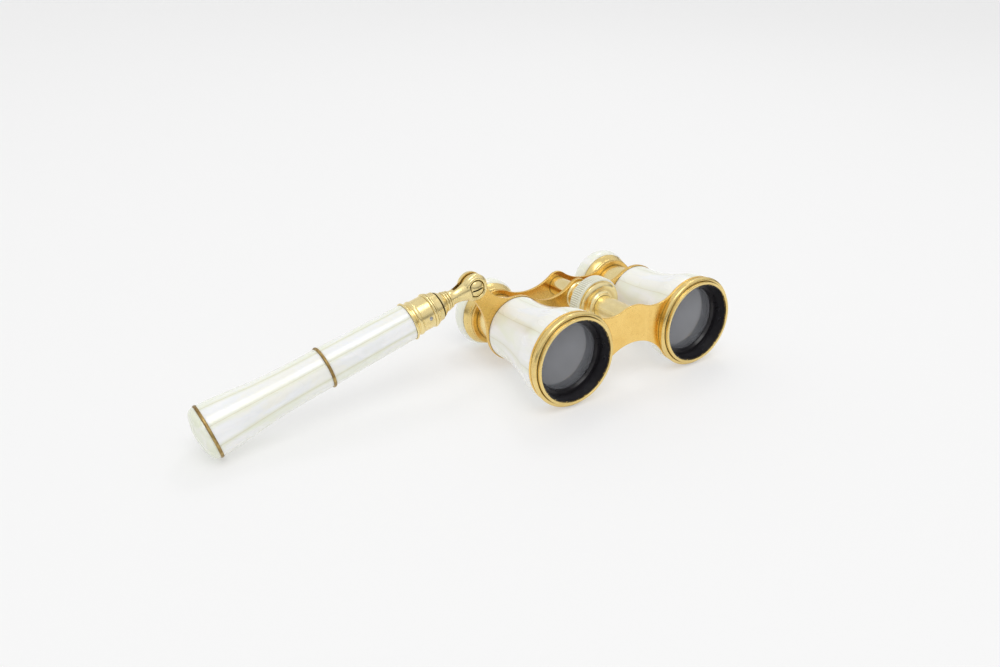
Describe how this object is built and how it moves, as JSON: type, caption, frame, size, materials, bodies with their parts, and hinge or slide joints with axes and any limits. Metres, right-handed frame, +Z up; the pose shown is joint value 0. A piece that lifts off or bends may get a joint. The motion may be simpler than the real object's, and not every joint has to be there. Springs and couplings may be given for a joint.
{
  "type": "opera glasses",
  "caption": "Small Galilean binocular with shell-faced barrels, a central focusing wheel that slides the eyepieces, and a folding, telescoping side handle.",
  "frame": {"origin": "middle of the underside of the bounding box, on the table that the glasses rest on", "axes": "+X from the handle end to the right barrel, along the handle; +Y from the objectives towards the eyes; +Z up. The optical axes slope 4.3 degrees down towards the eyecups, because the glasses lie on both objective rings and both eyecups"},
  "size_m": [0.2078, 0.066, 0.0428],
  "materials": {
    "gilt_brass": "bright yellow gilding over turned brass, lightly worn",
    "plain_brass": "smooth drawn tube, warm yellow",
    "aged_brass": "browned, unpolished brass",
    "nacre": "polished mother-of-pearl, creamy white with faint green and pink lustre",
    "nacre_cap": "polished cream shell",
    "black_lacquer": "black lacquer, satin, chipped at the lip",
    "lens_glass": "polished optical glass",
    "steel": "plain steel"
  },
  "bodies": {
    "frame": {"front_bridge": "gilt_brass", "rear_bridge": "gilt_brass", "column_tube": "gilt_brass", "column_boss": "gilt_brass", "barrel_tube_left": "plain_brass", "barrel_tube_right": "plain_brass", "barrel_staves_left": "nacre", "barrel_staves_right": "nacre", "objective_ring_left": "gilt_brass", "objective_ring_right": "gilt_brass", "objective_cell_left": "black_lacquer", "objective_cell_right": "black_lacquer", "objective_retainer_left": "black_lacquer", "objective_retainer_right": "black_lacquer", "objective_crown_left": "lens_glass", "objective_crown_right": "lens_glass", "objective_flint_left": "lens_glass", "objective_flint_right": "lens_glass"},
    "focus_wheel": {"focus_hub": "gilt_brass", "focus_rim_nut": "gilt_brass", "focus_wheel_rim": "nacre", "focus_screw": "steel"},
    "eyepiece_carriage": {"eyepiece_bridge": "gilt_brass", "nut_sleeve": "gilt_brass", "sleeve_cap": "gilt_brass", "draw_tube_left": "plain_brass", "draw_tube_right": "plain_brass", "eyepiece_bell_left": "gilt_brass", "eyepiece_bell_right": "gilt_brass", "eyecup_left": "nacre", "eyecup_right": "nacre", "eye_cell_left": "black_lacquer", "eye_cell_right": "black_lacquer", "eye_lens_left": "lens_glass", "eye_lens_right": "lens_glass", "eye_retainer_left": "black_lacquer", "eye_retainer_right": "black_lacquer"},
    "handle_arm": {"handle_fork": "gilt_brass", "pivot_screw": "gilt_brass", "pivot_washer": "gilt_brass", "handle_tube": "plain_brass", "tube_stop": "plain_brass"},
    "handle_grip": {"ferrule": "gilt_brass", "ferrule_ring": "gilt_brass", "guide_bush": "plain_brass", "guide_pin": "steel", "grip_core": "plain_brass", "upper_staves": "nacre", "mid_ring": "aged_brass", "lower_staves": "nacre", "end_ring": "aged_brass", "end_plug": "plain_brass", "end_cap": "nacre_cap"}
  },
  "joints": [
    {"name": "focus_turn", "type": "hinge", "parent": "frame", "child": "focus_wheel", "pos_m": [0.05448, -0.0059, 0.02363], "axis": [0, 0.9972, -0.0751], "range_deg": [-660, 90]},
    {"name": "eyepiece_slide", "type": "slide", "parent": "frame", "child": "eyepiece_carriage", "axis": [0, 0.9972, -0.0751], "range_m": [-0.011, 0.0015]},
    {"name": "handle_swing", "type": "hinge", "parent": "frame", "child": "handle_arm", "pos_m": [0.00381, 0.00887, 0.03733], "axis": [0, 0.9972, -0.0751], "range_deg": [-62, 192]},
    {"name": "handle_extend", "type": "slide", "parent": "handle_arm", "child": "handle_grip", "axis": [-0.9649, -0.0197, -0.2618], "range_m": [0, 0.045]}
  ],
  "couplings": [
    {"joint": "eyepiece_slide", "follows": "focus_turn", "m_per_rad": 0.000954}
  ]
}
